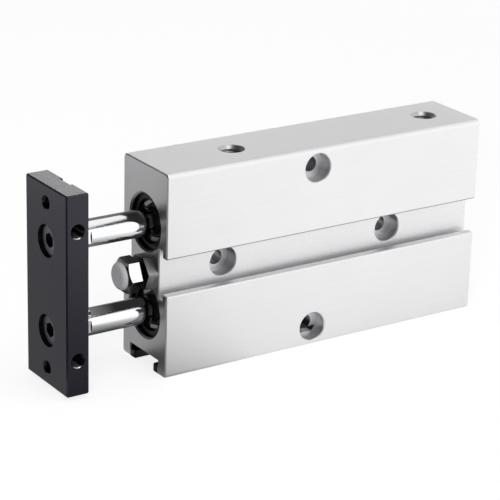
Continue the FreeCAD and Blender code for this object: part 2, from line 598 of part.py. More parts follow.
def make_magnet(z):
    """Magnet ring that the sensor in the base slot feels."""
    start = piston_stations()["magnet"]
    return ring(BORE_DIA - 2 * PISTON_GAP, GROOVE_ROOT_DIA + 2 * SEAT_GAP, start, start + MAGNET_WIDTH, z)


def make_wear_ring(z):
    """Guide ring that keeps the piston off the bore."""
    start = piston_stations()["wear_ring"]
    inner = WEAR_GROOVE_ROOT_DIA + 2 * SEAT_GAP
    return ring(BORE_DIA - 2 * RUNNING_GAP, inner, start, start + WEAR_RING_WIDTH, z)


def make_piston_nut(z):
    """Thin nut on the rod's spigot, behind the piston."""
    nut = hexagon_bar(PISTON_NUT_FLATS, NUT_FRONT_X, PISTON_REAR_X, z, 0)
    nut = round_off_hexagon(nut, NUT_FACE_SHARE * PISTON_NUT_FLATS, PISTON_REAR_X, NUT_FRONT_X, z)
    return nut.cut(along_x(SPIGOT_DIA + 2 * THREAD_GAP, NUT_FRONT_X, PISTON_REAR_X, z))


def all_pieces():
    """Every piece by its node name."""
    pieces = {
        "body": make_body(),
        "lock_nut": make_lock_nut(),
        "stop_bolt": make_stop_bolt(),
        "stop_pad": make_stop_pad(),
        "end_plate": make_end_plate(),
    }
    for name, z in AXES.items():
        front_seal, rear_seal = make_piston_seals(z)
        pieces.update({
            name + "_front_gland": make_front_gland(z),
            name + "_rod_seal": make_rod_seal(z),
            name + "_guide_bush": make_guide_bush(z),
            name + "_gland_o_ring": o_ring(FRONT_SEAT_X - O_RING_FROM_SEAT, z),
            name + "_front_clip": make_clip(BODY_FRONT_X + CLIP_RECESS, z),
            name + "_front_bumper": make_front_bumper(z),
            name + "_rear_cap": make_rear_cap(z),
            name + "_rear_o_ring": o_ring(REAR_SEAT_X + O_RING_FROM_SEAT, z),
            name + "_rear_clip": make_clip(BODY_REAR_X - CLIP_ZONE, z),
            name + "_rear_bumper": make_rear_bumper(z),
            name + "_rod": make_rod(z),
            name + "_plate_screw": make_plate_screw(z),
            name + "_piston": make_piston(z),
            name + "_piston_seal_front": front_seal,
            name + "_piston_seal_rear": rear_seal,
            name + "_magnet": make_magnet(z),
            name + "_wear_ring": make_wear_ring(z),
            name + "_piston_nut": make_piston_nut(z),
        })
    return pieces


os.makedirs("parts", exist_ok=True)
for node, shape in all_pieces().items():
    shape.exportStep("parts/" + node + ".step")
    state = "valid" if shape.isValid() else "INVALID"
    print(node, state, len(shape.Solids), "solid", round(shape.Volume, 2), "mm3")
print("body length", round(BODY_LENGTH, 3), "overall length", round(OVERALL_LENGTH, 3))
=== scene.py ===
"""Twin-rod air cylinder on a white studio floor, seen from the end plate's side.

Metres, in the part's own frame: +Z up, rods along X with the end plate towards -X. Sizes given in
millimetres become metres with MM.
"""
import json
import math

import bpy
import numpy as np
from mathutils import Matrix, Vector


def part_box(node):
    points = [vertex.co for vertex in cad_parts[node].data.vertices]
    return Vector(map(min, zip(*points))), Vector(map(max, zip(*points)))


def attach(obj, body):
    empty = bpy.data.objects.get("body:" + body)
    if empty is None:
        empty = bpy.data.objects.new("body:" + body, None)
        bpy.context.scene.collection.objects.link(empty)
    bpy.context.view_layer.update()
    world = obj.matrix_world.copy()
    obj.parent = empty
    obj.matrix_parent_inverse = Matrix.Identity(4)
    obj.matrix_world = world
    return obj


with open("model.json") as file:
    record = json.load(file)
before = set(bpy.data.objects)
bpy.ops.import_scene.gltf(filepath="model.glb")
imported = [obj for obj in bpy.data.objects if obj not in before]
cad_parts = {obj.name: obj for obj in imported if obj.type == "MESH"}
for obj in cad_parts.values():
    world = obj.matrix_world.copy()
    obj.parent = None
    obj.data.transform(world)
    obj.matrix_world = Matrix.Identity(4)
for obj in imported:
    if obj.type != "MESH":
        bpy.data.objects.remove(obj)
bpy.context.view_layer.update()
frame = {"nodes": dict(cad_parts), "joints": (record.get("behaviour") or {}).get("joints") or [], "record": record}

MM = 0.001

# Camera, from the perspective of the photograph
CAMERA_PLACE = Vector((-245.870, -361.771, 183.963)) * MM
CAMERA_AIM = Vector((-0.109, 3.780, 20.031)) * MM
CAMERA_ROLL = math.radians(1.582)
CAMERA_LENS = 151.92
SENSOR_WIDTH = 36.0

# Places on the part, in millimetres, from the frame. A rise is counted from the middle height.
plate_low, plate_high = (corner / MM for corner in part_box("end_plate"))
body_low, body_high = (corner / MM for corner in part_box("body"))
plate_middle = (plate_low + plate_high) / 2
plate_half = (plate_high - plate_low) / 2
body_middle = (body_low + body_high) / 2
body_half = (body_high - body_low) / 2
mounts = {mount["name"]: mount for mount in frame["record"]["mounts"]}
joints = {joint["name"]: joint for joint in frame["joints"]}
PORT_X = [mounts[port]["pos_m"][0] / MM for port in ("front_port", "rear_port")]
STOP_AXIS = [value / MM for value in joints["stop_bolt_turn"]["pos_m"][1:]]     # y and z
FACE_THREAD_RISE = mounts["plate_face_pair"]["dims"]["spacing_y_mm"] / 2
SIDE_THREAD_RISE = mounts["plate_left_upper"]["pos_m"][2] / MM - plate_middle.z
MOUNT_X = mounts["edge_bolt_pair"]["pos_m"][0] / MM     # middle of the four mounting holes
EDGE_HOLE_RISE = mounts["edge_bolt_pair"]["dims"]["spacing_y_mm"] / 2
SLOT_HOLE_REACH = mounts["slot_bolt_pair"]["dims"]["spacing_x_mm"] / 2
MOUNT_HOLE_RADIUS = mounts["edge_bolt_pair"]["dims"]["hole_r_mm"]

# Sizes of the part that the frame doesn't name, in millimetres
ROD_RISE = 10.0             # of each rod's axis
# The stop neck below is painted dark on the bolt and the nut, as painted shade in the gap
STOP_NECK = (-32.7, 0.75)   # middle and half length of the gap between the bolt's head and its nut
SEAT_RADIUS = 6.2           # of the openings round the rods
SEAT_MOUTH_RADIUS = 6.6
# The clips' bent ends within this reach carry a painted highlight
CLIP_END_REACH = 4.9        # of the clips' bent ends from a rod's axis
CLIP_END_SOFT = 0.3
CLIPS_FROM_X = body_low.x - 2.0     # the clips lie past this, and the plate's screws before it
SIDE_SLOT_REACH = 5.7       # of the side slots from the middle height
BASE_SLOT_REACH = 5.7       # of the base slot from the middle plane
BASE_SLOT_DEPTH = 3.15
SCREW_RECESS_RADIUS = 3.9
PORT_MOUTH_RADIUS = 2.95
COUNTERBORE_RADIUS = 3.25   # of the mounting holes
LOWEST_HOLE_TOP = 8.0       # height under which a mounting hole runs into the base slot
MASK_REACH = 0.05           # masks go this far past a wall, so that the wall is in them
MASK_SOFT = 0.05            # width of a mask's soft edge

# Threaded holes, in millimetres
PORT_RADIUS = mounts["front_port"]["dims"]["r_mm"]
PLATE_HOLE_RADIUS = mounts["plate_left_upper"]["dims"]["r_mm"]
PORT_THREAD = {"radius": PORT_RADIUS, "pitch": 0.8, "length": 5.4, "chamfer": 0.45}
PLATE_FACE_THREAD = {"radius": PLATE_HOLE_RADIUS, "pitch": 0.5, "length": 4.3, "chamfer": 0.2}
PLATE_SIDE_THREAD = {"radius": PLATE_HOLE_RADIUS, "pitch": 0.5, "length": 4.7, "chamfer": 0.2}
THREAD_HEIGHT = 0.5413      # of an internal thread, as a share of its pitch
ROOT_FLAT = 0.125           # flats of the thread's form, as shares of its pitch
CREST_FLAT = 0.25
MOUTH_DEPTH = 0.18          # mouth of the plate's threads, light where it faces up as a painted highlight
THREAD_SKIN = 0.02          # the sleeve's two walls stand this far each side of the solid's wall
STEPS_ROUND = 72
STEPS_PER_PITCH = 12

# Patterns, in millimetres. Real dents of the blasting are about 0.08 mm wide; they are drawn wider
# so that they show.
DENT_WIDTH = 0.3
DRAWN_LINE_WIDTH = 0.45
DRAWN_LINE_STRETCH = (0.015, 1.0, 1.0)
BODY_CLOUD_WIDTH = 14.0
PLATE_CLOUD_WIDTH = 9.0
TURNED_STAIN_WIDTH = 2.5
OXIDE_STAIN_WIDTH = 0.8
TAPPED_STAIN_WIDTH = 0.6
NOISE_SPAN = {"From Min": 0.3, "From Max": 0.7}     # of a noise, spread over a roughness

# Where a mask sets in and is full, as shares of the surface's normal along one axis
MILLED_FACING = {"From Min": 0.9, "From Max": 0.97}
# The next two place painted shade, on the holes' walls and under the side slots' lips
WALL_SHADE_FACING = {"From Min": 0.6, "From Max": 0.3}
LIP_SHADE_FACING = {"From Min": -0.15, "From Max": -0.4}
# The last places a painted highlight on the plate threads' mouths
HIGHLIGHT_FACING = {"From Min": 0.45, "From Max": 0.62}

# Sockets of Mix nodes, which have no names of their own: the share, two numbers, two colours
SHARE = 0
FROM_NUMBER, TO_NUMBER, NUMBER = 2, 3, 0
FROM_TONE, TO_TONE, TONE = 6, 7, 2

BLACK = (0, 0, 0, 1)
WHITE = (1, 1, 1, 1)

# Studio, in metres
ROOM_LIGHT = 0.5            # of the white room on matt surfaces
FLOOR_GLOW = 0.79
FAR_FLOOR_GLOW = 0.87
FLOOR_REACH = 4.0
FLOOR_DROP = 0.00005        # under the object's base
FAR_FLOOR = {"From Min": 0.3, "From Max": 0.9}          # distances over which the glow rises
COVERED_ENDS = 6.0          # the dark under the body stops this far inside it, in millimetres
COVERED_ENDS_SOFT = 2.0
COVERED_SIDES = 1.2
COVERED_SIDES_SOFT = 0.4
# Tone of the mirrored floor, from under the rods to well in front of them, by its place along Y
SHADE_STOPS = ((0.006, "#2A2A2A"), (-0.003, "#545454"), (-0.011, "#909090"),
               (-0.028, "#B4B4B4"), (-0.08, "#C4C4C4"), (-0.4, "#DCDCDC"))
LIT_ALONG_X = {"From Min": -0.032, "From Max": -0.004}  # from the rods' shade to beside the body
LIT_ALONG_Y = {"From Min": -0.01, "From Max": -0.06}    # and from the body forwards
LIT_GAIN = 1.14
GAP_ALONG_X = {"From Min": -0.043, "From Max": -0.037}  # into the gap between the rods
MIDDLE = (0.0, 0.0, 0.023)  # of the object, for the lamps to face


def linear(colour):
    """Linear RGBA of an sRGB hex colour: a straight line for the darkest shares, then a power."""
    shares = np.array([int(colour[i:i + 2], 16) for i in (1, 3, 5)]) / 255
    curve = np.where(shares <= 0.04045, shares / 12.92, ((shares + 0.055) / 1.055) ** 2.4)
    return (*curve.tolist(), 1.0)


def feed(tree, node, inputs):
    """Sets values on a node's own sockets, or joins the outputs that feed them."""
    for name, value in inputs.items():
        if isinstance(value, bpy.types.NodeSocket):
            tree.links.new(value, node.inputs[name])
        else:
            node.inputs[name].default_value = value


def add(tree, kind, inputs=None, **settings):
    """One shader node with its settings; each input is a value or the output that feeds it."""
    made = tree.nodes.new("ShaderNode" + kind)
    for name, value in settings.items():
        setattr(made, name, value)
    feed(tree, made, inputs or {})
    return made


def begin(name):
    """New material with its shader joined to its output, and the object's own coordinates."""
    material = bpy.data.materials.new(name)
    material.use_nodes = True
    tree = material.node_tree
    tree.nodes.clear()
    shader = add(tree, "BsdfPrincipled")
    add(tree, "OutputMaterial", {"Surface": shader.outputs["BSDF"]})
    place = add(tree, "TexCoord").outputs["Object"]
    return material, tree, shader, place


def per_mm(size):
    """Texture scale that gives a pattern of that size in millimetres on object coordinates."""
    return 1 / (size * MM)


def distance(tree, place, ways, centre):
    """Distance in metres from a centre in millimetres, along the axes for which ways has 1."""
    flat = add(tree, "VectorMath", {0: place, 1: ways}, operation="MULTIPLY").outputs[0]
    centre = [MM * value for value in centre]
    apart = add(tree, "VectorMath", {0: flat, 1: centre}, operation="DISTANCE")
    return apart.outputs["Value"]


def folded(tree, place, middle):
    """Coordinates from a middle point, made positive, so that two mirrored places are one."""
    centre = [MM * value for value in middle]
    shifted = add(tree, "VectorMath", {0: place, 1: centre}, operation="SUBTRACT")
    return add(tree, "VectorMath", {0: shifted.outputs[0]}, operation="ABSOLUTE").outputs[0]


def rod_distance(tree, place):
    """Distance from the nearer rod's axis, in metres."""
    half_view = folded(tree, place, (0, 0, body_middle.z))
    return distance(tree, half_view, (0, 1, 1), (0, 0, ROD_RISE))


def inside(tree, value, limit, soft=MASK_SOFT):
    """1 where a length in metres is under a limit in millimetres, 0 over it, with a soft edge."""
    edge = {"From Min": limit * MM, "From Max": (limit - soft) * MM}
    return add(tree, "MapRange", {"Value": value, **edge}).outputs[0]


def body_zones(tree, place):
    """Masks of the body's machined and deep places, each with its tone.

    The first list is smooth, because it was cut after the blasting. The second is as dull as the
    body's outside. A later zone covers an earlier one. All tones but those of the milled ends and
    the counterbores are painted shade, in the slots, the openings, the ports and the holes.
    """
    facing = add(tree, "SeparateXYZ", {"Vector": add(tree, "TexCoord").outputs["Normal"]})
    height = add(tree, "SeparateXYZ", {"Vector": place}).outputs["Z"]

    endwise = add(tree, "Math", {0: facing.outputs["X"]}, operation="ABSOLUTE").outputs[0]
    milled = add(tree, "MapRange", {"Value": endwise, **MILLED_FACING}).outputs[0]

    sideways = distance(tree, place, (0, 1, 0), (0, 0, 0))
    base_low = inside(tree, height, BASE_SLOT_DEPTH + MASK_REACH)
    base_mid = inside(tree, sideways, BASE_SLOT_REACH + MASK_REACH)
    base_slot_shade = add(tree, "Math", {0: base_low, 1: base_mid}, operation="MULTIPLY").outputs[0]

    from_rod = rod_distance(tree, place)
    mouth = inside(tree, from_rod, SEAT_MOUTH_RADIUS + MASK_REACH)
    seat_shade = inside(tree, from_rod, SEAT_RADIUS + MASK_REACH)

    port_middle = (sum(PORT_X) / 2, 0, 0)
    port_way = (PORT_X[1] - port_middle[0], 0, 0)
    from_port = distance(tree, folded(tree, place, port_middle), (1, 1, 0), port_way)
    at_port = inside(tree, from_port, PORT_MOUTH_RADIUS)
    upper = add(tree, "Math", {0: height, 1: body_middle.z * MM}, operation="GREATER_THAN")
    port = add(tree, "Math", {0: at_port, 1: upper.outputs[0]}, operation="MULTIPLY").outputs[0]

    quarter = folded(tree, place, (MOUNT_X, 0, body_middle.z))
    from_edge_hole = distance(tree, quarter, (1, 0, 1), (0, 0, EDGE_HOLE_RISE))
    from_slot_hole = distance(tree, quarter, (1, 0, 1), (SLOT_HOLE_REACH, 0, 0))
    from_hole = add(tree, "Math", {0: from_edge_hole, 1: from_slot_hole},
                    operation="MINIMUM").outputs[0]
    counterbore = inside(tree, from_hole, COUNTERBORE_RADIUS + MASK_REACH)
    drilled_shade = inside(tree, from_hole, MOUNT_HOLE_RADIUS + MASK_REACH)
    outward = add(tree, "Math", {0: facing.outputs["Y"]}, operation="ABSOLUTE").outputs[0]
    upright = add(tree, "MapRange", {"Value": outward, **WALL_SHADE_FACING}).outputs[0]
    wall = add(tree, "Math", {0: counterbore, 1: upright}, operation="MULTIPLY").outputs[0]
    low = inside(tree, height, LOWEST_HOLE_TOP)
    lowest_hole_shade = add(tree, "Math", {0: drilled_shade, 1: low}, operation="MULTIPLY").outputs[0]

    downward = add(tree, "MapRange", {"Value": facing.outputs["Z"], **LIP_SHADE_FACING}).outputs[0]
    rise = distance(tree, place, (0, 0, 1), (0, 0, body_middle.z))
    in_slot = inside(tree, rise, SIDE_SLOT_REACH)
    lip_shade = add(tree, "Math", {0: in_slot, 1: downward}, operation="MULTIPLY").outputs[0]

    # Painted shade in all but the milled ends and the counterbores: slots, openings, ports, holes
    smooth = ((milled, "#D4D4D6"), (base_slot_shade, "#4C4C4E"), (mouth, "#B0B0B2"),
              (seat_shade, "#505054"), (port, "#A8A8AA"))
    dull = ((counterbore, "#ECECEE"), (wall, "#D2D2D4"), (drilled_shade, "#CCCCCE"),
            (lowest_hole_shade, "#58585A"), (lip_shade, "#8C8C90"))
    return smooth, dull


def drawn_body_metal(name):
    """Extruded aluminium, milled at its ends, bead blasted and clear anodised.

    To the eye it is an even silver satin: a fine sparkle from dents, faint lines along the drawing
    direction and slow clouds where the oxide is thicker. The milled ends and the bored seats were
    not blasted, so they mirror their surroundings more sharply. The base slot, the openings round
    the rods, the ports' mouths, the mounting holes and the undercut edges of the side slots, which
    stay dull, are darkened with painted shade.
    """
    material, tree, shader, place = begin(name)
    dents = add(tree, "TexNoise", {"Vector": place, "Scale": per_mm(DENT_WIDTH), "Detail": 2.0,
                                   "Roughness": 0.6}).outputs["Fac"]
    clouds = add(tree, "TexNoise", {"Vector": place, "Scale": per_mm(BODY_CLOUD_WIDTH),
                                    "Detail": 2.0}).outputs["Fac"]
    along = add(tree, "Mapping", {"Vector": place, "Scale": DRAWN_LINE_STRETCH}).outputs[0]
    lines = add(tree, "TexNoise", {"Vector": along, "Scale": per_mm(DRAWN_LINE_WIDTH),
                                   "Detail": 1.0}).outputs["Fac"]
    slow = add(tree, "Mix", {SHARE: 0.4, FROM_NUMBER: clouds, TO_NUMBER: lines})
    both = add(tree, "Mix", {SHARE: 0.35, FROM_NUMBER: dents, TO_NUMBER: slow.outputs[NUMBER]})
    tone = add(tree, "Mix", {SHARE: both.outputs[NUMBER], FROM_TONE: linear("#DCDCDD"),
                             TO_TONE: linear("#F8F8F9")}, data_type="RGBA")
    smooth_zones, dull_zones = body_zones(tree, place)
    # Lays the zones' tones over the body's tone, most of them painted shade
    for mask, colour in smooth_zones + dull_zones:
        tone = add(tree, "Mix", {SHARE: mask, FROM_TONE: tone.outputs[TONE],
                                 TO_TONE: linear(colour)}, data_type="RGBA")
    smooth = smooth_zones[0][0]
    for mask, _ in smooth_zones[1:]:
        smooth = add(tree, "Math", {0: smooth, 1: mask}, operation="MAXIMUM").outputs[0]
    satin = add(tree, "MapRange", {"Value": dents, **NOISE_SPAN, "To Min": 0.46, "To Max": 0.56})
    rough = add(tree, "Mix", {SHARE: smooth, FROM_NUMBER: satin.outputs[0], TO_NUMBER: 0.34})
    bump = add(tree, "Bump", {"Height": dents, "Strength": 1.0, "Distance": 0.006 * MM})
    feed(tree, shader, {"Base Color": tone.outputs[TONE], "Metallic": 1.0,
                        "Roughness": rough.outputs[NUMBER], "Normal": bump.outputs["Normal"]})
    return material


def black_plate_metal(name):
    """Aluminium plate, bead blasted and anodised black.

    To the eye it is a soft blue-black under a smooth sealed oxide, which mirrors the room more and
    more towards a glancing view. The deep recesses of the screws are painted near black, as
    painted shade.
    """
    material, tree, shader, place = begin(name)
    dents = add(tree, "TexNoise", {"Vector": place, "Scale": per_mm(DENT_WIDTH), "Detail": 2.0,
                                   "Roughness": 0.6}).outputs["Fac"]
    clouds = add(tree, "TexNoise", {"Vector": place, "Scale": per_mm(PLATE_CLOUD_WIDTH),
                                    "Detail": 2.0}).outputs["Fac"]
    both = add(tree, "Mix", {SHARE: 0.45, FROM_NUMBER: dents, TO_NUMBER: clouds})
    dye = add(tree, "Mix", {SHARE: both.outputs[NUMBER], FROM_TONE: linear("#131219"),
                            TO_TONE: linear("#1E1D27")}, data_type="RGBA")
    # Painted shade: the screws' recesses in the plate are painted near black
    recess_shade = inside(tree, rod_distance(tree, place), SCREW_RECESS_RADIUS)
    dye_with_recess_shade = add(tree, "Mix", {SHARE: recess_shade, FROM_TONE: dye.outputs[TONE],
                              TO_TONE: linear("#0A0A0C")}, data_type="RGBA")
    rough = add(tree, "MapRange", {"Value": dents, **NOISE_SPAN, "To Min": 0.2, "To Max": 0.28})
    bump = add(tree, "Bump", {"Height": dents, "Strength": 1.0, "Distance": 0.003 * MM})
    feed(tree, shader, {"Base Color": dye_with_recess_shade.outputs[TONE], "Roughness": rough.outputs[0],
                        "Normal": bump.outputs["Normal"], "Specular Tint": linear("#EFECFF")})
    return material


def turned_metal(name, tones, rough, groove, relief, way="length", painted_hollow_shade=None):
    """Metal turned on a lathe: fine grooves, one for each pass of the tool.

    On the outside of a bar the grooves run round it; on an end face they are rings, about the rods'
    axes or the stop bolt's. Light catches them as faint lines in one direction. Where
    painted_hollow_shade is given, as a middle and a half length along X, the metal there is painted
    dark as painted shade in a gap. The width of a groove and its relief are in millimetres.
    """
    material, tree, shader, place = begin(name)
    if way == "length":
        across = add(tree, "SeparateXYZ", {"Vector": place}).outputs["X"]
    elif way == "rod rings":
        across = rod_distance(tree, place)
    else:
        across = distance(tree, place, (0, 1, 1), (0, *STOP_AXIS))
    passes = add(tree, "TexNoise", {"W": across, "Scale": per_mm(groove), "Detail": 2.0},
                 noise_dimensions="1D").outputs["Fac"]
    stains = add(tree, "TexNoise", {"Vector": place, "Scale": per_mm(TURNED_STAIN_WIDTH),
                                    "Detail": 3.0}).outputs["Fac"]
    both = add(tree, "Mix", {SHARE: 0.5, FROM_NUMBER: passes, TO_NUMBER: stains})
    tone = add(tree, "Mix", {SHARE: both.outputs[NUMBER], FROM_TONE: linear(tones[0]),
                             TO_TONE: linear(tones[1])}, data_type="RGBA")
    # Painted shade: the stop neck, between the bolt's head and its nut, is painted dark
    if painted_hollow_shade:
        middle, half_length = painted_hollow_shade
        gap = inside(tree, distance(tree, place, (1, 0, 0), (middle, 0, 0)), half_length)
        tone = add(tree, "Mix", {SHARE: gap, FROM_TONE: tone.outputs[TONE],
                                 TO_TONE: linear("#303030")}, data_type="RGBA")
    worn = add(tree, "MapRange", {"Value": stains, **NOISE_SPAN,
                                  "To Min": rough[0], "To Max": rough[1]})
    bump = add(tree, "Bump", {"Height": passes, "Strength": 1.0, "Distance": relief * MM})
    feed(tree, shader, {"Base Color": tone.outputs[TONE], "Metallic": 1.0,
                        "Roughness": worn.outputs[0], "Normal": bump.outputs["Normal"]})
    return material


def black_oxide_steel(name):
    """Steel blackened in hot oxide and oiled.

    To the eye it is a dark grey metal with a dull shine. The clips are a darker copy of it, as
    painted shade in the openings, and their bent ends carry a painted highlight: two small bright
    bars beside each rod.
    """
    material, tree, shader, place = begin(name)
    stains = add(tree, "TexNoise", {"Vector": place, "Scale": per_mm(OXIDE_STAIN_WIDTH),
                                    "Detail": 3.0}).outputs["Fac"]
    oiled = add(tree, "Mix", {SHARE: stains, FROM_TONE: linear("#66666C"),
                              TO_TONE: linear("#7E7E84")}, data_type="RGBA")
    length = add(tree, "SeparateXYZ", {"Vector": place}).outputs["X"]
    on_clip = add(tree, "Math", {0: length, 1: CLIPS_FROM_X * MM},
                  operation="GREATER_THAN").outputs[0]
    # Painted shade: the clips, down in the openings, take a darker tone than the screws
    oxide = add(tree, "Mix", {SHARE: on_clip, FROM_TONE: oiled.outputs[TONE],
                              TO_TONE: linear("#363639")}, data_type="RGBA")
    # Painted highlight: the clips' bent ends near the rods are light
    clip_end_highlight_zone = inside(tree, rod_distance(tree, place), CLIP_END_REACH, CLIP_END_SOFT)
    end = add(tree, "Math", {0: clip_end_highlight_zone, 1: on_clip}, operation="MULTIPLY").outputs[0]
    tone = add(tree, "Mix", {SHARE: end, FROM_TONE: oxide.outputs[TONE],
                             TO_TONE: linear("#9A9A9C")}, data_type="RGBA")
    rough = add(tree, "MapRange", {"Value": stains, **NOISE_SPAN, "To Min": 0.3, "To Max": 0.42})
    bump = add(tree, "Bump", {"Height": stains, "Strength": 1.0, "Distance": 0.002 * MM})
    feed(tree, shader, {"Base Color": tone.outputs[TONE], "Metallic": 1.0,
                        "Roughness": rough.outputs[0], "Normal": bump.outputs["Normal"]})
    return material


def tapped_plate_metal(name):
    """Threads cut in the plate after its dye took, with a thin mouth.

    To the eye each hole is black: its inside is painted dark, as painted shade. The lower edge of
    its mouth, which faces up, carries a painted highlight: a bright crescent.
    """
    material, tree, shader, place = begin(name)
    apart = add(tree, "SeparateXYZ", {"Vector": folded(tree, place, plate_middle)})
    front = inside(tree, apart.outputs["X"], plate_half.x - MOUTH_DEPTH)
    side = inside(tree, apart.outputs["Y"], plate_half.y - MOUTH_DEPTH)
    deep = add(tree, "Math", {0: front, 1: side}, operation="MULTIPLY").outputs[0]
    stains = add(tree, "TexNoise", {"Vector": place, "Scale": per_mm(TAPPED_STAIN_WIDTH),
                                    "Detail": 2.0}).outputs["Fac"]
    # Painted shade: the inside of the thread is near black
    painted_hollow_shade = add(tree, "Mix", {SHARE: stains, FROM_TONE: linear("#26262A"),
                             TO_TONE: linear("#38383C")}, data_type="RGBA")
    # Painted highlight: where the mouth faces up it is light
    facing = add(tree, "SeparateXYZ", {"Vector": add(tree, "TexCoord").outputs["Normal"]})
    crescent_highlight = add(tree, "MapRange", {"Value": facing.outputs["Z"], **HIGHLIGHT_FACING}).outputs[0]
    edge = add(tree, "Mix", {SHARE: crescent_highlight, FROM_TONE: linear("#3C3C40"),
                             TO_TONE: linear("#C0C0C4")}, data_type="RGBA")
    tone = add(tree, "Mix", {SHARE: deep, FROM_TONE: edge.outputs[TONE],
                             TO_TONE: painted_hollow_shade.outputs[TONE]}, data_type="RGBA")
    rough = add(tree, "MapRange", {"Value": stains, **NOISE_SPAN, "To Min": 0.2, "To Max": 0.32})
    feed(tree, shader, {"Base Color": tone.outputs[TONE], "Metallic": 1.0,
                        "Roughness": rough.outputs[0]})
    return material


def grained_matter(name, tones, rough, grit, relief, shine=0.5):
    """Moulded, sintered or dyed material without a metal's mirror: a fine grain, the same all over.

    To the eye it is matt, with slightly lighter grains. The grit and its relief are in millimetres.
    """
    material, tree, shader, place = begin(name)
    grains = add(tree, "TexNoise", {"Vector": place, "Scale": per_mm(grit), "Detail": 2.0,
                                    "Roughness": 0.6}).outputs["Fac"]
    tone = add(tree, "Mix", {SHARE: grains, FROM_TONE: linear(tones[0]),
                             TO_TONE: linear(tones[1])}, data_type="RGBA")
    matt = add(tree, "MapRange", {"Value": grains, **NOISE_SPAN,
                                  "To Min": rough[0], "To Max": rough[1]})
    bump = add(tree, "Bump", {"Height": grains, "Strength": 1.0, "Distance": relief * MM})
    feed(tree, shader, {"Base Color": tone.outputs[TONE], "Roughness": matt.outputs[0],
                        "Normal": bump.outputs["Normal"], "Specular IOR Level": shine})
    return material


MATERIALS = {
    "clear_anodised": drawn_body_metal("bead_blasted_clear_anodised_aluminium"),
    "black_anodised": black_plate_metal("bead_blasted_black_anodised_aluminium"),
    "black_gland": grained_matter("turned_black_anodised_aluminium", ("#0E0E10", "#1A1A1C"),
                                  rough=(0.4, 0.5), grit=0.3, relief=0.002, shine=0.25),
    "hard_chrome": turned_metal("ground_hard_chromed_steel", ("#E6E7E9", "#FBFCFE"),
                                rough=(0.07, 0.1), groove=0.15, relief=0.0002),
    "plated_steel": turned_metal("turned_nickel_plated_steel", ("#CFCECC", "#EAE9E7"),
                                 rough=(0.12, 0.2), groove=0.2, relief=0.001,
                                 way="stop rings", painted_hollow_shade=STOP_NECK),
    "black_steel": black_oxide_steel("black_oxide_steel"),
    "turned_aluminium": turned_metal("turned_clear_anodised_aluminium", ("#C8C8C9", "#E8E8E9"),
                                     rough=(0.25, 0.35), groove=0.2, relief=0.003,
                                     way="rod rings"),
    "bronze": turned_metal("sintered_bronze", ("#9B7038", "#C09252"),
                           rough=(0.35, 0.5), groove=0.2, relief=0.002),
    "rubber": grained_matter("moulded_nitrile_rubber", ("#141416", "#242426"),
                             rough=(0.6, 0.75), grit=0.25, relief=0.004, shine=0.3),
    "urethane": grained_matter("moulded_grey_urethane", ("#BABABC", "#CCCCCE"),
                               rough=(0.45, 0.6), grit=0.25, relief=0.003, shine=0.4),
    "bearing_plastic": grained_matter("machined_acetal", ("#D6D2C4", "#EAE6D8"),
                                      rough=(0.4, 0.5), grit=0.3, relief=0.002),
    "magnet": grained_matter("bonded_ferrite", ("#28282A", "#404043"),
                             rough=(0.5, 0.65), grit=0.15, relief=0.006),
}
# The nut was tumbled before plating, so its flats are rougher than the bolt's. Their darker
# tone than the bolt's is painted shade
NUT_METAL = turned_metal("tumbled_nickel_plated_steel_painted_shade", ("#A4A3A1", "#C0BFBD"),
                         rough=(0.26, 0.36), groove=0.25, relief=0.001,
                         way="stop rings", painted_hollow_shade=STOP_NECK)
# Threads cut after anodising are bare metal: satin turns that go dark away from the light
TAPPED_BODY = turned_metal("tapped_bare_aluminium", ("#B4B4B6", "#CCCCCE"),
                           rough=(0.34, 0.44), groove=0.2, relief=0.001)
TAPPED_PLATE = tapped_plate_metal("tapped_plate_aluminium_painted_light")
for part in frame["record"]["subparts"]:
    node = part["node"]
    mesh = frame["nodes"][node].data
    mesh.materials.clear()
    mesh.materials.append(NUT_METAL if node == "lock_nut" else MATERIALS[part["material_slot"]])


def closed_surface(name, grid, material):
    """Object from a grid of points, shape (rows, columns, 3), joined end to end both ways round.

    The faces are turned outwards: the triple products of their triangles' corners add up to six
    times the volume, which is positive when they point out.
    """
    rows, columns = grid.shape[:2]
    index = np.arange(rows * columns).reshape(rows, columns)
    down = np.roll(index, -1, axis=0)
    corners = [index, np.roll(index, -1, axis=1), np.roll(down, -1, axis=1), down]
    quads = np.stack(corners, axis=-1).reshape(-1, 4)
    points = grid.reshape(-1, 3)
    first, second, third, fourth = (points[quads[:, i]] for i in range(4))
    volume = np.sum(np.cross(first, second) * third) + np.sum(np.cross(first, third) * fourth)
    if volume < 0:
        quads = quads[:, ::-1]
    mesh = bpy.data.meshes.new(name)
    mesh.vertices.add(len(points))
    mesh.vertices.foreach_set("co", points.astype(np.float32).ravel())
    mesh.loops.add(quads.size)
    mesh.loops.foreach_set("vertex_index", quads.astype(np.int32).ravel())
    mesh.polygons.add(len(quads))
    mesh.polygons.foreach_set("loop_start", np.arange(0, quads.size, 4, dtype=np.int32))
    mesh.polygons.foreach_set("use_smooth", np.ones(len(quads), dtype=bool))
    mesh.update(calc_edges=True)
    mesh.validate()
    mesh.materials.append(material)
    piece = bpy.data.objects.new(name, mesh)
    bpy.context.scene.collection.objects.link(piece)
    return piece


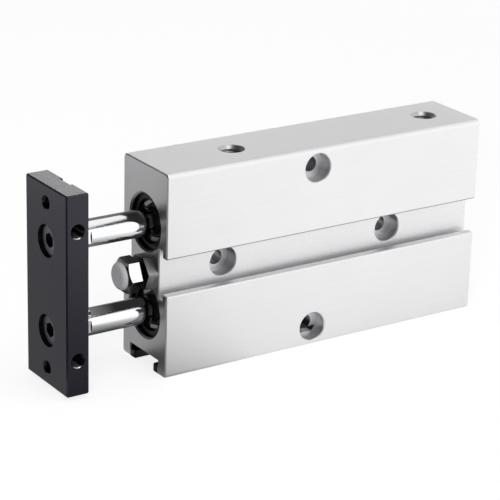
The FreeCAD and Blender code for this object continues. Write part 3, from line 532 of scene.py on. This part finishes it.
def threaded_sleeve(name, material, mouth, inward, across, radius, pitch, length, chamfer):
    """Skin of a threaded hole, as a closed sleeve.

    Round the hole by angle t and down it by depth s, the radius is the hole's own radius less the
    thread's height times a triangle wave of (s / pitch - t / one turn), with flats at crest and
    root. Near the mouth the countersink's cone is wider than the thread and takes its place. The
    outer wall follows the plain hole and cone, just inside the solid, so that the sleeve is closed.
    """
    angle = np.linspace(0, 2 * np.pi, STEPS_ROUND, endpoint=False)[:, None]
    depth = np.linspace(THREAD_SKIN, length, int(length / pitch * STEPS_PER_PITCH))[None, :]
    wave = np.abs(2 * ((depth / pitch - angle / (2 * np.pi)) % 1) - 1)
    lift = np.clip((wave - ROOT_FLAT) / (1 - ROOT_FLAT - CREST_FLAT), 0, 1)
    cone = np.maximum(radius + chamfer - depth, 0)
    wall = np.maximum(radius, cone) + np.zeros_like(angle)
    inner = np.maximum(radius - THREAD_HEIGHT * pitch * lift, cone) - THREAD_SKIN
    radii = np.concatenate([inner, wall[:, ::-1] + THREAD_SKIN], axis=1)
    depths = np.concatenate([depth, depth[:, ::-1]], axis=1) + np.zeros_like(angle)
    inward = np.array(inward, float)
    across = np.array(across, float)
    beside = np.cross(inward, across)
    ring = np.cos(angle)[..., None] * across + np.sin(angle)[..., None] * beside
    grid = np.array(mouth) + depths[..., None] * inward + radii[..., None] * ring
    return closed_surface(name, grid * MM, material)


for where, x in zip(("front", "rear"), PORT_X):
    mouth = (x, 0, body_high.z)
    sleeve = threaded_sleeve(where + "_port_thread", TAPPED_BODY, mouth, (0, 0, -1), (1, 0, 0),
                             **PORT_THREAD)
    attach(sleeve, "cylinder")
plate_sleeves = []
for level, sign in (("upper", 1), ("lower", -1)):
    mouth = (plate_low.x, 0, plate_middle.z + sign * FACE_THREAD_RISE)
    plate_sleeves.append(threaded_sleeve(level + "_face_thread", TAPPED_PLATE, mouth,
                                         (1, 0, 0), (0, 1, 0), **PLATE_FACE_THREAD))
    for hand, out in (("left", -1), ("right", 1)):
        mouth = (plate_middle.x, out * plate_high.y, plate_middle.z + sign * SIDE_THREAD_RISE)
        plate_sleeves.append(threaded_sleeve(f"{level}_{hand}_side_thread", TAPPED_PLATE, mouth,
                                             (0, -out, 0), (1, 0, 0), **PLATE_SIDE_THREAD))
for sleeve in plate_sleeves:
    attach(sleeve, "rods")


def flat_card(name, centre, right, up, material):
    """Flat staged rectangle: centre plus s times right plus t times up, for s and t of -1 and 1."""
    s, t = np.meshgrid([-1, 1], [-1, 1])
    points = np.array(centre) + s[..., None] * np.array(right) + t[..., None] * np.array(up)
    mesh = bpy.data.meshes.new(name)
    mesh.from_pydata(points.reshape(-1, 3).tolist(), [], [(0, 1, 3, 2)])
    mesh.materials.append(material)
    card = bpy.data.objects.new(name, mesh)
    bpy.context.scene.collection.objects.link(card)
    return card


def seen_directly(tree):
    """1 for rays from the camera, mirror reflections and clear passage, and 0 for matt light."""
    path = add(tree, "LightPath")
    first = add(tree, "Math", {0: path.outputs["Is Camera Ray"], 1: path.outputs["Is Glossy Ray"]},
                operation="MAXIMUM")
    return add(tree, "Math", {0: first.outputs[0], 1: path.outputs["Is Transmission Ray"]},
               operation="MAXIMUM").outputs[0]


def paper_floor(name):
    """White paper, which shows the object's shadow.

    Its own glow makes it white to the eye, except under the body, where no light reaches.
    """
    material, tree, shader, place = begin(name)
    away = add(tree, "VectorMath", {0: place}, operation="LENGTH").outputs["Value"]
    even = add(tree, "MapRange", {"Value": away, **FAR_FLOOR,
                                  "To Min": FLOOR_GLOW, "To Max": FAR_FLOOR_GLOW})
    apart = add(tree, "SeparateXYZ", {"Vector": folded(tree, place, (body_middle.x, 0, 0))})
    ends = inside(tree, apart.outputs["X"], body_half.x - COVERED_ENDS, COVERED_ENDS_SOFT)
    sides = inside(tree, apart.outputs["Y"], body_half.y - COVERED_SIDES, COVERED_SIDES_SOFT)
    covered = add(tree, "Math", {0: ends, 1: sides}, operation="MULTIPLY").outputs[0]
    bare = add(tree, "Mix", {SHARE: covered, FROM_NUMBER: even.outputs[0], TO_NUMBER: 0.0})
    glow = add(tree, "Math", {0: seen_directly(tree), 1: bare.outputs[NUMBER]},
               operation="MULTIPLY")
    feed(tree, shader, {"Base Color": linear("#989898"), "Roughness": 0.9,
                        "Specular IOR Level": 0.0, "Emission Color": WHITE,
                        "Emission Strength": glow.outputs[0]})
    return material


def even_card(name, colour, strength=1.0):
    """Card that shows in the object's metal as one even tone."""
    material, tree, shader, _ = begin(name)
    feed(tree, shader, {"Base Color": BLACK, "Specular IOR Level": 0.0,
                        "Emission Color": linear(colour), "Emission Strength": strength})
    return material


def shaded_floor_card(name):
    """Floor as the metal mirrors it: dark under the rods, paler in front, lit beside the body."""
    material, tree, shader, place = begin(name)
    where = add(tree, "SeparateXYZ", {"Vector": place})
    near, far = SHADE_STOPS[0][0], SHADE_STOPS[-1][0]
    step = add(tree, "MapRange", {"Value": where.outputs["Y"], "From Min": near, "From Max": far})
    ramp = add(tree, "ValToRGB", {"Fac": step.outputs[0]})
    for y, _ in SHADE_STOPS[1:-1]:
        ramp.color_ramp.elements.new((y - near) / (far - near))
    for stop, (_, colour) in zip(ramp.color_ramp.elements, SHADE_STOPS):
        stop.color = linear(colour)
    past = add(tree, "MapRange", {"Value": where.outputs["X"], **LIT_ALONG_X}).outputs[0]
    off = add(tree, "MapRange", {"Value": where.outputs["Y"], **LIT_ALONG_Y}).outputs[0]
    lit = add(tree, "Mix", {SHARE: off, FROM_TONE: linear("#E6E6E6"),
                            TO_TONE: linear("#FFFFFF")}, data_type="RGBA")
    tone = add(tree, "Mix", {SHARE: past, FROM_TONE: ramp.outputs["Color"],
                             TO_TONE: lit.outputs[TONE]}, data_type="RGBA")
    gain = add(tree, "MapRange", {"Value": past, "To Min": 1.0, "To Max": LIT_GAIN})
    feed(tree, shader, {"Base Color": BLACK, "Specular IOR Level": 0.0,
                        "Emission Color": tone.outputs[TONE],
                        "Emission Strength": gain.outputs[0]})
    return material


def painted_gap_shade_card(name):
    """Painted shade of the gap between the rods, darker towards the body."""
    material, tree, shader, place = begin(name)
    length = add(tree, "SeparateXYZ", {"Vector": place}).outputs["X"]
    depth = add(tree, "MapRange", {"Value": length, **GAP_ALONG_X}).outputs[0]
    tone = add(tree, "Mix", {SHARE: depth, FROM_TONE: linear("#808080"),
                             TO_TONE: linear("#2C2C2C")}, data_type="RGBA")
    feed(tree, shader, {"Base Color": BLACK, "Specular IOR Level": 0.0,
                        "Emission Color": tone.outputs[TONE], "Emission Strength": 1.0})
    return material


flat_card("floor", (0, 0, -FLOOR_DROP), (FLOOR_REACH, 0, 0), (0, FLOOR_REACH, 0),
          paper_floor("white_paper_floor"))

# Cards that only mirror reflections see: name, centre, half breadth, half height, material.
# Those between the rods are painted shade and end behind the plate's face at its innermost place.
shade = shaded_floor_card("shaded_floor_card")
deep = painted_gap_shade_card("painted_gap_shade_card")
black = even_card("black_card", "#202020")
dark = even_card("dark_card", "#707070")
grey = even_card("grey_card", "#AEAEAE")
bright = even_card("bright_card", "#FFFFFF", 3.0)
CARDS = (
    ("floor_shade_card", (0.124, -0.197, 0.0002), (0.176, 0, 0), (0, 0.203, 0), shade),
    ("floor_grey_card", (-0.0775, 0.144, 0.0001), (0.0475, 0, 0), (0, 0.156, 0), grey),
    ("left_floor_card", (-0.125, -0.064, 0.0001), (0.075, 0, 0), (0, 0.05, 0), black),
    ("back_card", (0.1, 0.4, 0.28), (0.6, 0, 0), (0, 0, 0.28), dark),
    ("back_strip_card", (0.28, 0.38, 0.2), (0.2, 0, 0), (0, 0, 0.034), bright),
    ("gap_card", (0.255, -0.23, 0.5), (0.035, 0, 0), (0, 0.21, 0), black),
    ("under_rod_shade_card", (-0.0362, 0, 0.0275), (0.0066, 0, 0), (0, 0.003, 0), deep),
    ("under_bolt_shade_card", (-0.0362, -0.0002, 0.0172), (0.0066, 0, 0), (0, 0.0032, 0), deep),
    ("camera_card", (-0.26, -0.38, 0.2), (0.166, -0.112, 0), (0, 0, 0.18), black),
    ("left_card", (-0.35, -0.1, 0.45), (0, 0.8, 0), (0.25, 0, 0.45), black),
)
for entry in CARDS:
    card = flat_card(*entry)
    card.visible_camera = False
    card.visible_diffuse = False
    card.visible_shadow = False
    card.visible_transmission = False

world = bpy.data.worlds.new("white_studio")
world.use_nodes = True
world.node_tree.nodes.clear()
light = add(world.node_tree, "MapRange", {"Value": seen_directly(world.node_tree),
                                          "To Min": ROOM_LIGHT, "To Max": 1.0})
sky = add(world.node_tree, "Background", {"Color": WHITE, "Strength": light.outputs[0]})
add(world.node_tree, "OutputWorld", {"Surface": sky.outputs[0]})
bpy.context.scene.world = world


def softbox(name, place, width, height, watts):
    """Rectangular studio lamp at place, facing the object's middle."""
    lamp = bpy.data.lights.new(name, "AREA")
    lamp.shape = "RECTANGLE"
    lamp.size = width
    lamp.size_y = height
    lamp.energy = watts
    holder = bpy.data.objects.new(name, lamp)
    holder.location = place
    ahead = Vector(MIDDLE) - Vector(place)
    holder.rotation_euler = ahead.to_track_quat("-Z", "Y").to_euler()
    bpy.context.scene.collection.objects.link(holder)
    return holder


softbox("overhead_softbox", (0.07, -0.22, 0.52), width=0.26, height=0.26, watts=0.3)
softbox("front_softbox", (0.16, -0.58, 0.24), width=0.8, height=0.36, watts=0.45)
# The left one lights the matt pieces alone
fill = softbox("left_softbox", (-0.45, -0.45, 0.2), width=0.2, height=0.2, watts=1.6)
fill.visible_glossy = False

camera = bpy.data.cameras.new("photo_camera")
camera.lens = CAMERA_LENS
camera.sensor_width = SENSOR_WIDTH
camera.clip_start = 0.02
camera.clip_end = 20.0
ahead = (CAMERA_AIM - CAMERA_PLACE).normalized()
level_right = ahead.cross(Vector((0, 0, 1))).normalized()
level_up = level_right.cross(ahead)
right = level_right * math.cos(CAMERA_ROLL) + level_up * math.sin(CAMERA_ROLL)
up = level_up * math.cos(CAMERA_ROLL) - level_right * math.sin(CAMERA_ROLL)
turn = Matrix((right, up, -ahead)).transposed().to_4x4()
viewer = bpy.data.objects.new("photo_camera", camera)
viewer.matrix_world = Matrix.Translation(CAMERA_PLACE) @ turn
bpy.context.scene.collection.objects.link(viewer)
bpy.context.scene.camera = viewer
bpy.context.scene.view_settings.view_transform = "Standard"
